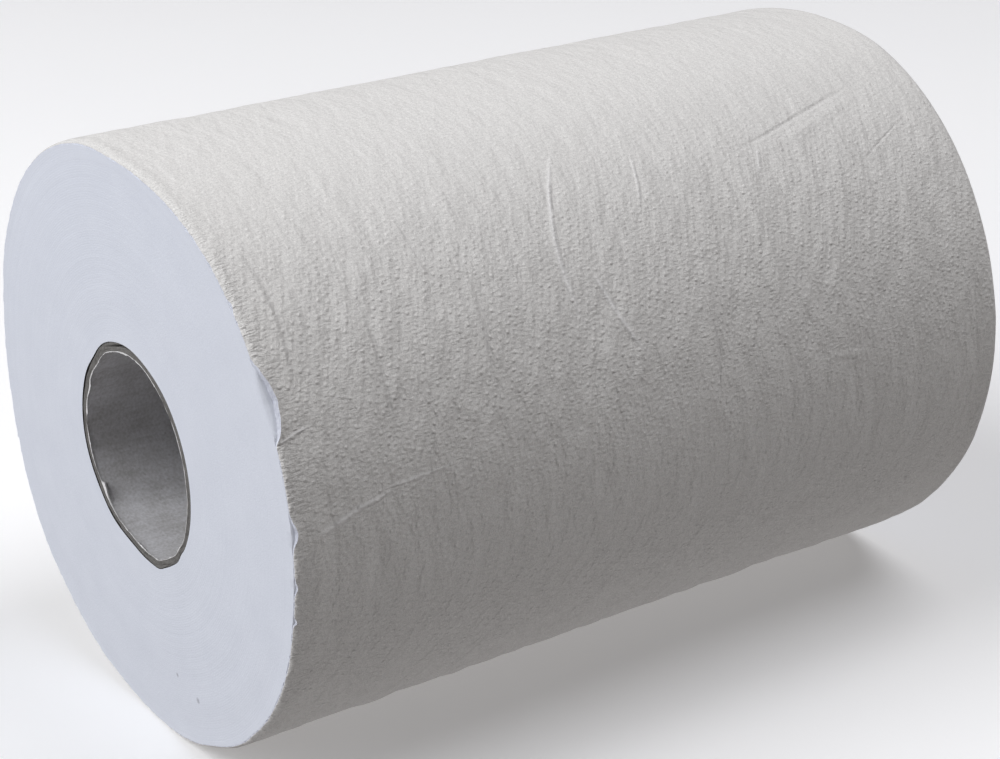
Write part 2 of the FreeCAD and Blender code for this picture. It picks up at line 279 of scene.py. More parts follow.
def unrolled_angle(degrees: float) -> float:
    """Angle in radians on the unrolled sheet, which starts at its free end."""
    return math.radians((degrees - TAIL_ANGLE) % 360.0 + TAIL_ANGLE)


def relief_strength(step: Callable) -> "np.ndarray | Field":
    """How strong the relief is round the roll: full on the lit side, faint on the top.

    Args:
        step: a smooth step from 0 at one angle to 1 at another, in degrees.
    Returns:
        The strength.
    """
    under = step(TAIL_ANGLE, UNDERSIDE_ANGLE)
    side = step(FLAT_RELIEF_ANGLE, FULL_RELIEF_ANGLE) * under
    back = step(FLAT_RELIEF_ANGLE, FLAT_RELIEF_ANGLE + 50.0) + 1.0 - under
    return side * (SIDE_RELIEF - FLAT_RELIEF) + back * (BACK_RELIEF - FLAT_RELIEF) + FLAT_RELIEF


CREASES = (
    Crease((1.280, 63.3), (1.116, 47.4), (1.108, 26.5), 0.28, 0.64),
    Crease((1.183, 38.5), (1.218, 30.0), (1.293, 20.5), 0.34, 0.56),
    Crease((1.515, 58.0), (1.480, 51.5), (1.440, 45.5), 0.16, 0.40),
    Crease((1.880, 52.3), (2.233, 57.4), (2.520, 61.9), -0.18, 0.60),
    Crease((1.940, 50.2), (2.240, 54.6), (2.500, 59.6), 0.16, 1.30),
    Crease((1.985, 53.0), (1.967, 50.1), (1.930, 46.5), 0.16, 0.60),
    Crease((2.600, 51.0), (2.450, 47.1), (2.330, 43.6), -0.10, 0.36),
    Crease((0.080, 5.8), (0.235, 9.25), (0.385, 11.2), 0.34, 0.66),
    Crease((0.360, 10.8), (0.440, 11.6), (0.540, 12.1), 0.20, 0.66),
    Crease((1.535, 30.5), (1.572, 19.0), (1.515, 6.5), -0.16, 0.30),
    Crease((0.000, 22.8), (0.040, 23.7), (0.110, 24.8), 0.36, 0.42),
    Crease((0.108, 56.0), (0.120, 43.5), (0.086, 28.0), -0.26, 0.64),
    Crease((0.612, 57.5), (0.623, 47.9), (0.655, 38.0), -0.14, 0.45),
    Crease((0.388, 47.0), (0.378, 33.0), (0.370, 16.0), -0.25, 0.54),
    Crease((0.405, 40.0), (0.410, 31.0), (0.400, 20.0), 0.28, 0.80),
    Crease((0.770, 42.0), (0.742, 30.0), (0.740, 16.0), -0.21, 0.54),
    Crease((1.267, 23.0), (1.267, 19.6), (1.225, 15.5), 0.32, 0.90),
    Crease((1.604, 28.0), (1.592, 23.0), (1.552, 17.5), 0.34, 1.00),
    Crease((1.540, 57.0), (1.500, 50.0), (1.472, 44.0), 0.16, 0.80),
    Crease((1.900, 55.0), (1.886, 47.0), (1.862, 41.0), 0.16, 0.90),
    Crease((1.280, 78.0), (1.330, 66.0), (1.345, 52.0), -0.16, 0.90),
    Crease((0.900, 82.0), (0.860, 66.0), (0.850, 50.0), 0.16, 1.00),
    Crease((1.680, 40.0), (1.700, 28.0), (1.690, 18.0), -0.14, 0.90),
    Crease((2.180, 40.0), (2.200, 26.0), (2.190, 12.0), -0.14, 0.90),
    Crease((2.420, 38.0), (2.450, 20.0), (2.430, 4.0), 0.14, 0.90),
    Crease((0.560, 99.0), (0.590, 90.0), (0.585, 79.0), -0.22, 1.30),
    Crease((1.330, 97.0), (1.370, 88.0), (1.380, 77.0), -0.20, 1.20),
    Crease((1.830, 95.0), (1.880, 86.0), (1.890, 75.0), -0.20, 1.20),
    Crease((2.020, 10.6), (2.075, 7.4), (2.125, 8.0), 0.40, 0.80),
    Crease((0.700, 140.0), (0.930, 150.0), (1.100, 168.0), 0.22, 1.20),
    Crease((1.700, 236.0), (1.900, 222.0), (2.300, 214.0), -0.22, 1.40),
    Crease((0.400, 205.0), (0.500, 214.0), (0.620, 226.0), -0.20, 1.20),
    Crease((1.900, 130.0), (1.960, 150.0), (1.930, 172.0), -0.18, 1.10),
    Crease((1.200, 304.0), (1.260, 322.0), (1.240, 340.0), -0.12, 0.95),
)


class Field:
    """A number that changes over a surface; arithmetic that starts with it adds Math nodes."""

    def __init__(self, sheet: "NodeSheet", socket: bpy.types.NodeSocket) -> None:
        """Wrap one output socket of a node sheet."""
        self.sheet = sheet
        self.socket = socket

    def __add__(self, other: "Field | float") -> "Field":
        """Sum of two values."""
        return self.sheet.calculate("ADD", self, other)

    def __sub__(self, other: "Field | float") -> "Field":
        """Difference of two values."""
        return self.sheet.calculate("SUBTRACT", self, other)

    def __mul__(self, other: "Field | float") -> "Field":
        """Product of two values."""
        return self.sheet.calculate("MULTIPLY", self, other)

    def __truediv__(self, other: "Field | float") -> "Field":
        """Quotient of two values."""
        return self.sheet.calculate("DIVIDE", self, other)

    def rise(self, low: float, high: float) -> "Field":
        """Smooth step from 0 at low to 1 at high; low may be the larger one."""
        first, last, turned = (low, high, False) if low < high else (high, low, True)
        ends = {"To Min": 1.0, "To Max": 0.0} if turned else {"To Min": 0.0, "To Max": 1.0}
        sockets = {"Value": self, "From Min": first, "From Max": last, **ends}
        return self.sheet.number("ShaderNodeMapRange", {"interpolation_type": "SMOOTHSTEP"}, sockets)


class NodeSheet:
    """The node tree of one material or of the surroundings."""

    def __init__(self, owner: bpy.types.Material | bpy.types.World) -> None:
        """Start with an empty sheet."""
        owner.use_nodes = True
        self.owner = owner
        self.tree = owner.node_tree
        self.tree.nodes.clear()

    @classmethod
    def of_material(cls, name: str) -> "NodeSheet":
        """Start the sheet of a new material."""
        return cls(bpy.data.materials.new(name))

    def node(self, kind: str, settings: dict | None = None, sockets: dict | None = None) -> bpy.types.Node:
        """Add a node.

        Args:
            kind: the node's type.
            settings: its settings, which are set first.
            sockets: values or links of its inputs, by name or number.
        Returns:
            The new node.
        """
        made = self.tree.nodes.new(kind)
        for name, value in (settings or {}).items():
            setattr(made, name, value)
        for key, value in (sockets or {}).items():
            self.feed(made.inputs[key], value)
        return made

    def feed(self, socket: bpy.types.NodeSocket, value: object) -> None:
        """Give an input socket a value, or link it to a field or an output."""
        if isinstance(value, Field):
            self.tree.links.new(value.socket, socket)
        elif isinstance(value, bpy.types.NodeSocket):
            self.tree.links.new(value, socket)
        else:
            socket.default_value = value

    def number(self, kind: str, settings: dict, sockets: dict, output: int | str = 0) -> Field:
        """Add a node and wrap one of its outputs as a field."""
        return Field(self, self.node(kind, settings, sockets).outputs[output])

    def calculate(self, operation: str, *values: Field | float) -> Field:
        """Add a Math node with these inputs, in order."""
        return self.number("ShaderNodeMath", {"operation": operation}, dict(enumerate(values)))

    def place(self) -> bpy.types.NodeSocket:
        """The place on the object, in metres."""
        return self.node("ShaderNodeTexCoord").outputs["Object"]

    def vector(self, x: Field | float, y: Field | float, z: Field | float = 0.0) -> bpy.types.NodeSocket:
        """Put three numbers together as a vector."""
        return self.node("ShaderNodeCombineXYZ", sockets={"X": x, "Y": y, "Z": z}).outputs[0]

    def parts(self, vector: bpy.types.NodeSocket) -> tuple[Field, Field, Field]:
        """Take a vector apart into its three numbers."""
        made = self.node("ShaderNodeSeparateXYZ", sockets={"Vector": vector})
        return tuple(Field(self, out) for out in made.outputs)

    def noise(self, place: bpy.types.NodeSocket, scale: float, detail: float = 2.0) -> Field:
        """Noise from 0 to 1 at a place, with scale cells to a unit and detail finer layers."""
        return self.number("ShaderNodeTexNoise", {}, {"Vector": place, "Scale": scale, "Detail": detail})

    def mix(self, share: Field, first: object, second: object) -> bpy.types.NodeSocket:
        """Mix two colours or colour sockets; share is how much of the second there is."""
        return self.node("ShaderNodeMix", {"data_type": "RGBA"}, {0: share, 6: first, 7: second}).outputs[2]

    def finish(
        self, colour: object, roughness: Field | float, height: Field, **constants: float
    ) -> bpy.types.Material:
        """Add the shader and hand the material over.

        Args:
            colour: base colour.
            roughness: roughness.
            height: height of the fine relief, in metres.
            constants: values of other sockets of the shader, with _ for a space.
        Returns:
            The finished material.
        """
        bump = self.node("ShaderNodeBump", sockets={"Strength": 1.0, "Distance": 1.0, "Height": height})
        sockets = {"Base Color": colour, "Roughness": roughness, "Normal": bump.outputs[0]}
        sockets.update({name.replace("_", " "): value for name, value in constants.items()})
        shader = self.node("ShaderNodeBsdfPrincipled", sockets=sockets)
        self.node("ShaderNodeOutputMaterial", sockets={"Surface": shader.outputs[0]})
        return self.owner


@dataclass(frozen=True)
class EmbossedPaper:
    """Soft two-ply towel paper with a square lattice of small raised dots.

    Args:
        sizes: the roll's sizes.
        colour: the paper's colour.
        grain_and_hollow_shade_colour: its darker colour, mixed in at random by the fibres and crepe, and as
            painted shade in the dots' hollows, the wrinkles' troughs and the grooves.
        crest_highlight_colour: a painted highlight on the sharpest ridges.
        dot_pitch: distance from one dot to the next.
        dot_height: how far the dots stand out.
        lattice_angle: angle of the dots' rows from the direction round the roll, in degrees.
        wrinkle_height: height of the soft wrinkles round the roll.
        buckle_height: height of the soft buckles along the dots' rows.
        crepe_height: height of the fine crepe across the sheet's run.
    """

    sizes: RollSizes
    colour: Colour = (0.89, 0.875, 0.845, 1.0)
    grain_and_hollow_shade_colour: Colour = (0.60, 0.588, 0.570, 1.0)
    crest_highlight_colour: Colour = (0.97, 0.96, 0.95, 1.0)
    dot_pitch: float = 1.97 * MM
    dot_height: float = 0.160 * MM
    lattice_angle: float = 22.4
    wrinkle_height: float = 0.90 * MM
    buckle_height: float = 0.36 * MM
    crepe_height: float = 0.17 * MM

    def dots(self, sheet: NodeSheet, row: Field, column: Field) -> Field:
        """Raised dots of uneven strength.

        Args:
            sheet: the node sheet.
            row: place along the dots' rows, in pitches.
            column: place across them, in pitches.
        Returns:
            The dots, about 0 to 1, with weaker ones between them.
        """
        drift = sheet.noise(sheet.vector(row, column), 0.4) * 0.35
        spots = [
            sheet.number(
                "ShaderNodeTexVoronoi",
                {"voronoi_dimensions": "2D", "feature": "F1"},
                {
                    "Vector": sheet.vector(row + drift + shift, column - drift + shift),
                    "Scale": 1.0,
                    "Randomness": 0.22,
                },
                "Distance",
            ).rise(0.33, 0.0)
            for shift in (0.0, 0.5)
        ]
        vigour = sheet.noise(sheet.vector(row, column), 0.30).rise(0.30, 0.62)
        chance = sheet.noise(sheet.vector(row, column, 7.0), 1.3, 1.0).rise(0.30, 0.62)
        return (spots[0] + spots[1] * 0.22) * (vigour * 0.6 + 0.4) * (chance * 0.5 + 0.5)

    def material(self) -> bpy.types.Material:
        """Make the paper's material, which reads the unrolled sheet's coordinates."""
        sheet = NodeSheet.of_material("embossed_paper")
        unrolled = sheet.node("ShaderNodeUVMap", {"uv_map": UNROLLED}).outputs[0]
        around, along, _ = sheet.parts(unrolled)
        from_near = along + self.sizes.half_length
        turn = math.radians(self.lattice_angle)
        row = (around * math.cos(turn) + along * math.sin(turn)) / self.dot_pitch
        column = (along * math.cos(turn) - around * math.sin(turn)) / self.dot_pitch
        dots = self.dots(sheet, row, column)
        buckles = sheet.noise(sheet.vector(row * 0.20, column * 0.85), 1.0, 2.0)
        wrinkles = sheet.noise(sheet.vector(around / (10 * MM), along / (3.4 * MM)), 1.0, 2.0)
        crepe = sheet.noise(sheet.vector(around / (0.60 * MM), along / (1.7 * MM)), 1.0, 3.0)
        fibres = sheet.noise(sheet.vector(around / MM, along / MM), 3.0, 3.0)
        edge = from_near.rise(6.0 * MM, 0.5 * MM)
        radius = self.sizes.mean_radius
        strength = relief_strength(
            lambda low, high: around.rise(math.radians(low) * radius, math.radians(high) * radius)
        )
        height = strength * (
            dots * self.dot_height
            + buckles * self.buckle_height
            + wrinkles * self.wrinkle_height
            + crepe * self.crepe_height
            + fibres * (0.08 * MM)
        )
        height = height + crepe * edge * (1.9 * self.crepe_height)
        # Painted shade and highlight: the dots' tops and the wrinkles' crests lean to the paper's colour
        # and their hollows to the darker one; the fibres and crepe add random grain.
        tone = dots * 0.13 + fibres.rise(0.32, 0.68) * 0.50 + crepe.rise(0.3, 0.7) * 0.25 + wrinkles * 0.12
        colour = sheet.mix(tone, self.grain_and_hollow_shade_colour, self.colour)
        # Fine creases are painted as well: a ridge takes a painted highlight and a groove a painted shade,
        # each as strong as it stands out.
        for crease in CREASES:
            if crease.is_line():
                line = crease.line(from_near, around, self.sizes)
                height = height + line * (crease.rise * MM)
                crease_highlight_and_shade = self.crest_highlight_colour if crease.rise > 0.0 else self.grain_and_hollow_shade_colour
                colour = sheet.mix(line * (abs(crease.rise) / 0.6), colour, crease_highlight_and_shade)
        return sheet.finish(colour, fibres * 0.1 + 0.86, height, Specular_IOR_Level=0.2, Sheen_Weight=0.1)


@dataclass(frozen=True)
class CutTurns:
    """The ends of the winding, where a saw cut all the turns at once.

    Args:
        sizes: the roll's sizes.
        colour: the cut paper's colour, with the cool blue cast of the light on the end painted in.
        shade_colour: its colour in the faint lines between the turns.
        turn_pitch: distance between the lines that show.
        specks: places across and up over the mean radius, and size in millimetres.
        speck_colour: the specks' colour.
    """

    sizes: RollSizes
    # The blue cast of both colours is painted light: the cool light on the end face, painted into the
    # paper.
    colour: Colour = (0.765, 0.795, 0.865, 1.0)
    shade_colour: Colour = (0.685, 0.715, 0.79, 1.0)
    turn_pitch: float = 0.55 * MM
    specks: tuple[tuple[float, float, float], ...] = ((0.198, -0.702, 0.45), (0.333, -0.729, 0.62))
    speck_colour: Colour = (0.33, 0.33, 0.36, 1.0)

    def material(self) -> bpy.types.Material:
        """Make the material of the cut turns, with a few specks near the rim."""
        sheet = NodeSheet.of_material("cut_turns")
        place = sheet.place()
        across, along, up = sheet.parts(place)
        up = up - self.sizes.axis_height
        angle = sheet.calculate("ARCTAN2", up, across) / math.tau
        radius = sheet.calculate("SQRT", across * across + up * up)
        wander = sheet.noise(place, 60.0) * 0.8
        phase = radius / self.turn_pitch - angle + wander
        lines = sheet.calculate("SINE", phase * math.tau) * 0.5 + 0.5
        cloud = sheet.noise(place, 90.0, 3.0)
        grain = sheet.noise(place, 2600.0, 3.0)
        bands = sheet.noise(sheet.vector(radius * 700.0, angle * 1.5), 1.0, 2.0)
        tone = lines * 0.03 + cloud * 0.38 + bands * 0.17 + grain * 0.42
        colour = sheet.mix(tone.rise(0.15, 0.85), self.shade_colour, self.colour)
        near_end = along.rise(0.0, -MM) * 0.6
        for speck_across, speck_up, size in self.specks:
            off_x = across - speck_across * self.sizes.mean_radius
            off_z = up - speck_up * self.sizes.mean_radius
            away = sheet.calculate("SQRT", off_x * off_x + off_z * off_z)
            spot = (away + (grain - 0.5) * (0.5 * MM)).rise(size * 1.6 * MM, size * 0.4 * MM)
            colour = sheet.mix(spot * near_end, colour, self.speck_colour)
        height = lines * (0.006 * MM) + bands * (0.05 * MM) + grain * (0.06 * MM) + cloud * (0.12 * MM)
        return sheet.finish(colour, grain * 0.1 + 0.88, height, Specular_IOR_Level=0.15)


@dataclass(frozen=True)
class PaperEdge:
    """The frayed cut edge of the outermost turns, a little lighter than the sheet, with the cool blue cast
    of the front light painted into its colours.
    """

    # Painted light: the blue cast stands in for the cool front light on the edge.
    colour: Colour = (0.775, 0.80, 0.87, 1.0)
    shade_colour: Colour = (0.64, 0.66, 0.74, 1.0)

    def material(self) -> bpy.types.Material:
        """Make the fuzzy edge's material."""
        sheet = NodeSheet.of_material("frayed_edge")
        place = sheet.place()
        fuzz = sheet.noise(place, 1400.0, 4.0)
        colour = sheet.mix(fuzz.rise(0.3, 0.7), self.shade_colour, self.colour)
        return sheet.finish(colour, fuzz * 0.1 + 0.88, fuzz * (0.12 * MM), Specular_IOR_Level=0.15)


class BoardPart(Enum):
    """The faces of the core's board, and a near-black painted shade for the gap between the core and the
    paper, each with its light and dark colour.
    """

    WALL = ("greyboard_wall", (0.215, 0.208, 0.198, 1.0), (0.098, 0.094, 0.088, 1.0))
    # Painted shade: a near-black sheet on the winding's hole, which darkens the gap beside the core.
    GLUED = ("glued_turn", (0.060, 0.057, 0.053, 1.0), (0.030, 0.028, 0.026, 1.0))
    INSIDE = ("core_liner", (0.66, 0.66, 0.685, 1.0), (0.34, 0.33, 0.32, 1.0))
    # The near-white is partly the torn fibres' pale colour and partly a painted highlight where the torn
    # edge catches the light.
    FRAY = ("frayed_liner", (0.93, 0.93, 0.93, 1.0), (0.62, 0.61, 0.60, 1.0))


@dataclass(frozen=True)
class Greyboard:
    """Recycled board of the core.

    Args:
        part: which of its faces is dressed.
        fibre_scale: how many fibres lie in a metre.
    """

    part: BoardPart
    fibre_scale: float = 1500.0

    def material(self) -> bpy.types.Material:
        """Make the material of this face of the board."""
        name, light, dark = self.part.value
        sheet = NodeSheet.of_material(name)
        place = sheet.place()
        across, along, up = sheet.parts(place)
        fibres = sheet.noise(place, self.fibre_scale, 4.0)
        blotches = sheet.noise(place, 130.0, 3.0)
        streaks = sheet.noise(sheet.vector(across * 900.0, along * 120.0, up * 900.0), 1.0, 2.0)
        tone = fibres * 0.45 + blotches * 0.35 + streaks * 0.2
        colour = sheet.mix(tone.rise(0.2, 0.8), dark, light)
        flecks = sheet.noise(place, 700.0, 1.0).rise(0.70, 0.78) * 0.5
        colour = sheet.mix(flecks, colour, dark)
        height = fibres * (0.05 * MM) + blotches * (0.08 * MM) + streaks * (0.03 * MM)
        return sheet.finish(colour, fibres * 0.12 + 0.8, height, Specular_IOR_Level=0.2)


@dataclass(frozen=True)
class Ring:
    """One ring of a piece round the roll: radii, places along Y, and the material to the next ring."""

    radius: np.ndarray
    along: np.ndarray
    finish: int


def new_piece(
    name: str, points: np.ndarray, quads: np.ndarray, materials: list[bpy.types.Material]
) -> bpy.types.Object:
    """Make a smooth mesh from points and quads.

    Args:
        name: the piece's name.
        points: its points.
        quads: the four points of each face.
        materials: its materials.
    Returns:
        The new object, linked to the scene.
    """
    mesh = bpy.data.meshes.new(name)
    mesh.from_pydata(points.reshape(-1, 3).tolist(), [], quads.reshape(-1, 4).tolist())
    for material in materials:
        mesh.materials.append(material)
    mesh.polygons.foreach_set("use_smooth", np.ones(len(mesh.polygons), dtype=bool))
    piece = bpy.data.objects.new(name, mesh)
    bpy.context.scene.collection.objects.link(piece)
    return piece


def ring_mesh(
    name: str,
    rings: list[Ring],
    angle: np.ndarray,
    axis_height: float,
    materials: list[bpy.types.Material],
    unrolled_radius: float | None = None,
) -> bpy.types.Object:
    """Make a skin from rings, closed round the roll and round its section as a wheel rim is.

    Args:
        name: the piece's name.
        rings: its rings, in order.
        angle: the columns' angles.
        axis_height: height of the roll's axis.
        materials: the piece's materials.
        unrolled_radius: radius that the unrolled sheet's coordinates are counted at, if it has them.
    Returns:
        The new object, linked to the scene.
    """
    radius = np.stack([ring.radius for ring in rings])
    along = np.stack([ring.along for ring in rings])
    up = np.maximum(axis_height + radius * np.sin(angle), 0.0)
    points = np.stack([radius * np.cos(angle), along, up], axis=-1)
    points = np.clip(points, np.array(CAD_LOW), np.array(CAD_HIGH))
    rows, columns = radius.shape
    index = np.arange(rows * columns).reshape(rows, columns)
    after = np.roll(index, -1, axis=1)
    quads = np.stack([index, after, np.roll(after, -1, axis=0), np.roll(index, -1, axis=0)], axis=-1)
    piece = new_piece(name, points, quads, materials)
    mesh = piece.data
    finish = np.array([ring.finish for ring in rings], dtype=np.int32)
    mesh.polygons.foreach_set("material_index", np.repeat(finish, columns))
    if unrolled_radius is not None:
        turned = np.append(angle, angle[0] + math.tau) * unrolled_radius
        closed = np.concatenate([along, along[:, :1]], axis=1)
        sheet = np.stack([np.broadcast_to(turned, closed.shape), closed], axis=-1)
        following = np.roll(sheet, -1, axis=0)
        corners = np.stack([sheet[:, :-1], sheet[:, 1:], following[:, 1:], following[:, :-1]], axis=2)
        layer = mesh.uv_layers.new(name=UNROLLED)
        layer.data.foreach_set("uv", corners.reshape(-1).astype(np.float32))
    mesh.set_sharp_from_angle(angle=math.radians(50.0))
    mesh.validate()
    mesh.update()
    return piece


class NearEndWear(Enum):
    """Dents, gaps and tears at the near end: angle and half width in degrees, and millimetres."""

    CORE_DENTS = (
        (192, 16, 0.40), (222, 12, -0.40), (258, 21, -1.60), (289, 6, 0.45), (313, 5, 0.20),
        (321, 4, -0.20), (72, 16, -0.35), (105, 16, -0.25), (137, 14, -0.95), (160, 12, -0.25),
    )
    CORE_GAP = ((152, 18, 0.40), (190, 26, 0.25), (235, 20, 0.30))
    CORE_SWELLING = (
        (110, 16, 0.50), (138, 10, 0.20), (161, 9, 0.55), (286, 8, 0.25), (72, 12, -0.35), (327, 12, -0.40),
    )
    LINER_FLUFF = ((158, 5, 0.35), (176, 2.5, 0.50), (193, 6, 0.30), (95, 4, 0.25))
    SPLIT_PLIES = ((270, 8, 1.80), (99, 9, 1.80), (25, 5, 0.54))
    TORN_SHEET = ((8.0, 2.2, 0.90), (-1.8, 1.2, 0.50), (-8.7, 0.8, 0.50), (47.0, 1.0, 0.35))

    def at(self, degrees: np.ndarray) -> np.ndarray:
        """The length at each angle."""
        return sum(height * hump(place, width, degrees) for place, width, height in self.value) * MM


@dataclass(frozen=True)
class CoreShape:
    """The core's slightly dented section, which the winding's hole follows too.

    Args:
        sizes: the roll's sizes.
        glue_gap: distance between the core and the first turn of paper.
    """

    sizes: RollSizes
    glue_gap: float = 0.1 * MM

    def outside(self, angle: np.ndarray, near: np.ndarray) -> np.ndarray:
        """Outer radius of the core.

        Args:
            angle: angles in radians.
            near: 1 at the near end, fading to 0 where the core is round.
        Returns:
            The radius at each angle.
        """
        degrees = np.degrees(angle) % 360.0
        dents = NearEndWear.CORE_DENTS.at(degrees) - NearEndWear.CORE_GAP.at(degrees)
        return self.sizes.core_outside + dents * near

    def wall(self, angle: np.ndarray, near: float) -> np.ndarray:
        """Thickness of the wall, larger at the near end where the plies have swollen."""
        degrees = np.degrees(angle) % 360.0
        swollen = NearEndWear.CORE_SWELLING.at(degrees) - NearEndWear.CORE_GAP.at(degrees)
        return self.sizes.core_outside - self.sizes.core_inside + swollen * near

    def hole(self, angle: np.ndarray, near: float) -> np.ndarray:
        """Radius of the winding's hole, which leaves a gap where the paper has come off."""
        gap = NearEndWear.CORE_GAP.at(np.degrees(angle) % 360.0)
        return self.outside(angle, near) + self.glue_gap + near * gap

    def near(self, share: float) -> float:
        """How near the dented end a place from -1 to 1 is: 1 at that end, 0 beyond the middle."""
        return min(1.0, max(0.0, (0.2 - share) / 1.2))


class SlippedTurns(Enum):
    """Where the last turns slipped back and stand off: angle in degrees, and millimetres."""

    LIFT = ((22.8, 0.0), (24.0, 0.4), (27.0, 0.6), (31.0, 0.5), (34.0, 0.25), (37.0, 0.0))
    SET_BACK = (
        (22.9, 0.0), (23.6, 0.35), (24.6, 0.95), (25.9, 1.5), (28.0, 2.0),
        (30.0, 2.2), (32.0, 1.95), (33.8, 1.35), (35.4, 0.7), (37.5, 0.0),
    )
    SINK = ((22.8, 0.0), (24.0, 0.3), (28.0, 0.5), (32.0, 0.5), (35.0, 0.3), (37.5, 0.0))

    def at(self, degrees: np.ndarray) -> np.ndarray:
        """The length at each angle, zero outside the slipped turns."""
        angles, lengths = zip(*self.value)
        return np.interp(degrees, angles, lengths, left=0.0, right=0.0) * MM


class WindingFinish(IntEnum):
    """The winding's materials, in the order in which it holds them."""

    SHEET = 0
    TURNS = 1
    EDGE = 2
    # Painted shade on the hole's wall, where the gap beside the core is shaded.
    GLUED = 3


@dataclass
class TowelWinding:
    """All the turns of paper as one closed skin, with the last sheet's edges modelled.

    Args:
        sizes: the roll's sizes.
        core: the core's shape, for the hole.
        sheet_thickness: one embossed two-ply sheet.
        tail_angle: place of the last sheet's free end, in degrees.
        tail_gap: angle over which the free end steps down to the turn beneath it.
        fine_from: where the side that the photograph shows begins, in degrees.
        fine_to: where it ends.
        fine_columns: columns on that side.
        coarse_columns: columns on the rest.
        lip_depth: how far along the roll the slipped turns stand off.
        slip_depth: how far along it they are set back.
        edge_rounding: how far the cut edge is worn down.
        wear_depth: how far along the roll it is worn.
        fray: length of the edge's fibres.
        rim_radius: how far the far end rounds over.
        face_rows: rows of the photographed end.
        side_rows: rows of the side.
        waves: seed, cells round and along the roll, and height in millimetres.
    """

    sizes: RollSizes
    core: CoreShape
    sheet_thickness: float = 0.5 * MM
    tail_angle: float = TAIL_ANGLE
    tail_gap: float = 0.3
    fine_from: float = 300.0
    fine_to: float = 478.0
    fine_columns: int = 310
    coarse_columns: int = 142
    lip_depth: float = 7.0 * MM
    slip_depth: float = 4.0 * MM
    edge_rounding: float = 0.70 * MM
    wear_depth: float = 0.6 * MM
    fray: float = 0.18 * MM
    rim_radius: float = 2.5 * MM
    face_rows: int = 24
    side_rows: int = 154
    waves: tuple[tuple[int, int, int, float], ...] = (
        (3, 9, 5, 0.30), (5, 20, 24, 0.14), (7, 34, 60, 0.15), (9, 90, 110, 0.055),
    )

    def __post_init__(self) -> None:
        """Work out the columns' angles, from the free end once round, and the near edge's wear."""
        end = self.tail_angle + 360.0 - self.tail_gap
        before = self.fine_from - self.tail_angle
        after = end - self.fine_to
        first = round(self.coarse_columns * before / (before + after))
        self.degrees = np.concatenate([
            np.linspace(self.tail_angle, self.fine_from, first, endpoint=False),
            np.linspace(self.fine_from, self.fine_to, self.fine_columns, endpoint=False),
            np.linspace(self.fine_to, end, self.coarse_columns - first),
        ])
        self.angle = np.radians(self.degrees)
        self.flat = np.ones(self.angle.shape)
        self.turn = self.angle / math.tau
        self.tremor = SoftNoise(17, 14, 9)
        centred = self.degrees - 360.0
        torn = NearEndWear.TORN_SHEET.at(centred)
        self.lift = SlippedTurns.LIFT.at(centred) + 0.4 * torn
        self.set_back = SlippedTurns.SET_BACK.at(centred) + torn
        self.sink = SlippedTurns.SINK.at(centred) + 0.4 * torn

    def section(self, along: np.ndarray) -> np.ndarray:
        """Reach of the winding's section, without wrinkles.

        Args:
            along: places along Y, one row each.
        Returns:
            The reach, by row and column.
        """
        share = smooth_step(0.05, 0.95, (along / self.sizes.half_length + 1.0) / 2.0)[:, None]
        near, far = EndShape.NEAR.reach(self.degrees), EndShape.FAR.reach(self.degrees)
        reach = (near * (1.0 - share) + far * share) * self.sizes.mean_radius
        return reach - self.sheet_thickness * (1.0 - smooth_step(0.0, 88.0, self.degrees - self.tail_angle))

    def relief(self, along: np.ndarray) -> np.ndarray:
        """Height of wrinkles, soft waves and creases on the outer sheet.

        Args:
            along: places along Y, by row and column.
        Returns:
            The height at each point.
        """
        share = (along / self.sizes.half_length + 1.0) / 2.0
        turn = np.broadcast_to(self.turn, along.shape)
        waves = sum(height * SoftNoise(*cells).at(turn, share) for *cells, height in self.waves)
        strength = relief_strength(lambda low, high: smooth_step(low, high, self.degrees))
        height = waves * strength * MM
        from_near = along + self.sizes.half_length
        around = np.broadcast_to(self.angle * self.sizes.mean_radius, along.shape)
        for crease in CREASES:
            if not crease.is_line():
                height = height + crease.height(from_near, around, self.sizes)
        return height - 0.35 * MM

    def side_places(self) -> np.ndarray:
        """Distances of the side's rows from the near edge, from the far rim to the edge."""
        length = 2 * self.sizes.half_length
        edge = np.array([0.0, 0.3, 0.7, 1.2, 1.8, 2.5, 3.3, 4.2, 5.2, 6.3, 7.5, 8.8]) * MM
        rest = np.linspace(10.0 * MM, length - self.rim_radius, self.side_rows - edge.size)
        return np.concatenate([edge, rest])[::-1]

    def far_band(self, from_near: np.ndarray) -> np.ndarray:
        """Shallow dip that runs beside the far edge on the side that the photograph shows."""
        degrees = self.degrees - 360.0
        weight = smooth_step(-38.0, -26.0, degrees) * smooth_step(27.0, 18.0, degrees)
        from_far = 2 * self.sizes.half_length - from_near
        dip = 0.55 * hump(6.0 * MM, 2.2 * MM, from_far) - 0.22 * hump(2.2 * MM, 1.6 * MM, from_far)
        return -dip * MM * weight

    def outer(self, from_near: np.ndarray) -> np.ndarray:
        """Radius of the outer sheet where it lies on the roll.

        Args:
            from_near: distances from the near edge, by row and column.
        Returns:
            The radius at each point.
        """
        along = from_near - self.sizes.half_length
        settled = 1.0 - 0.75 * hump(270.0, 30.0, self.degrees)
        base = self.section(along.mean(axis=1))
        return base + self.relief(along) * settled + self.far_band(from_near)

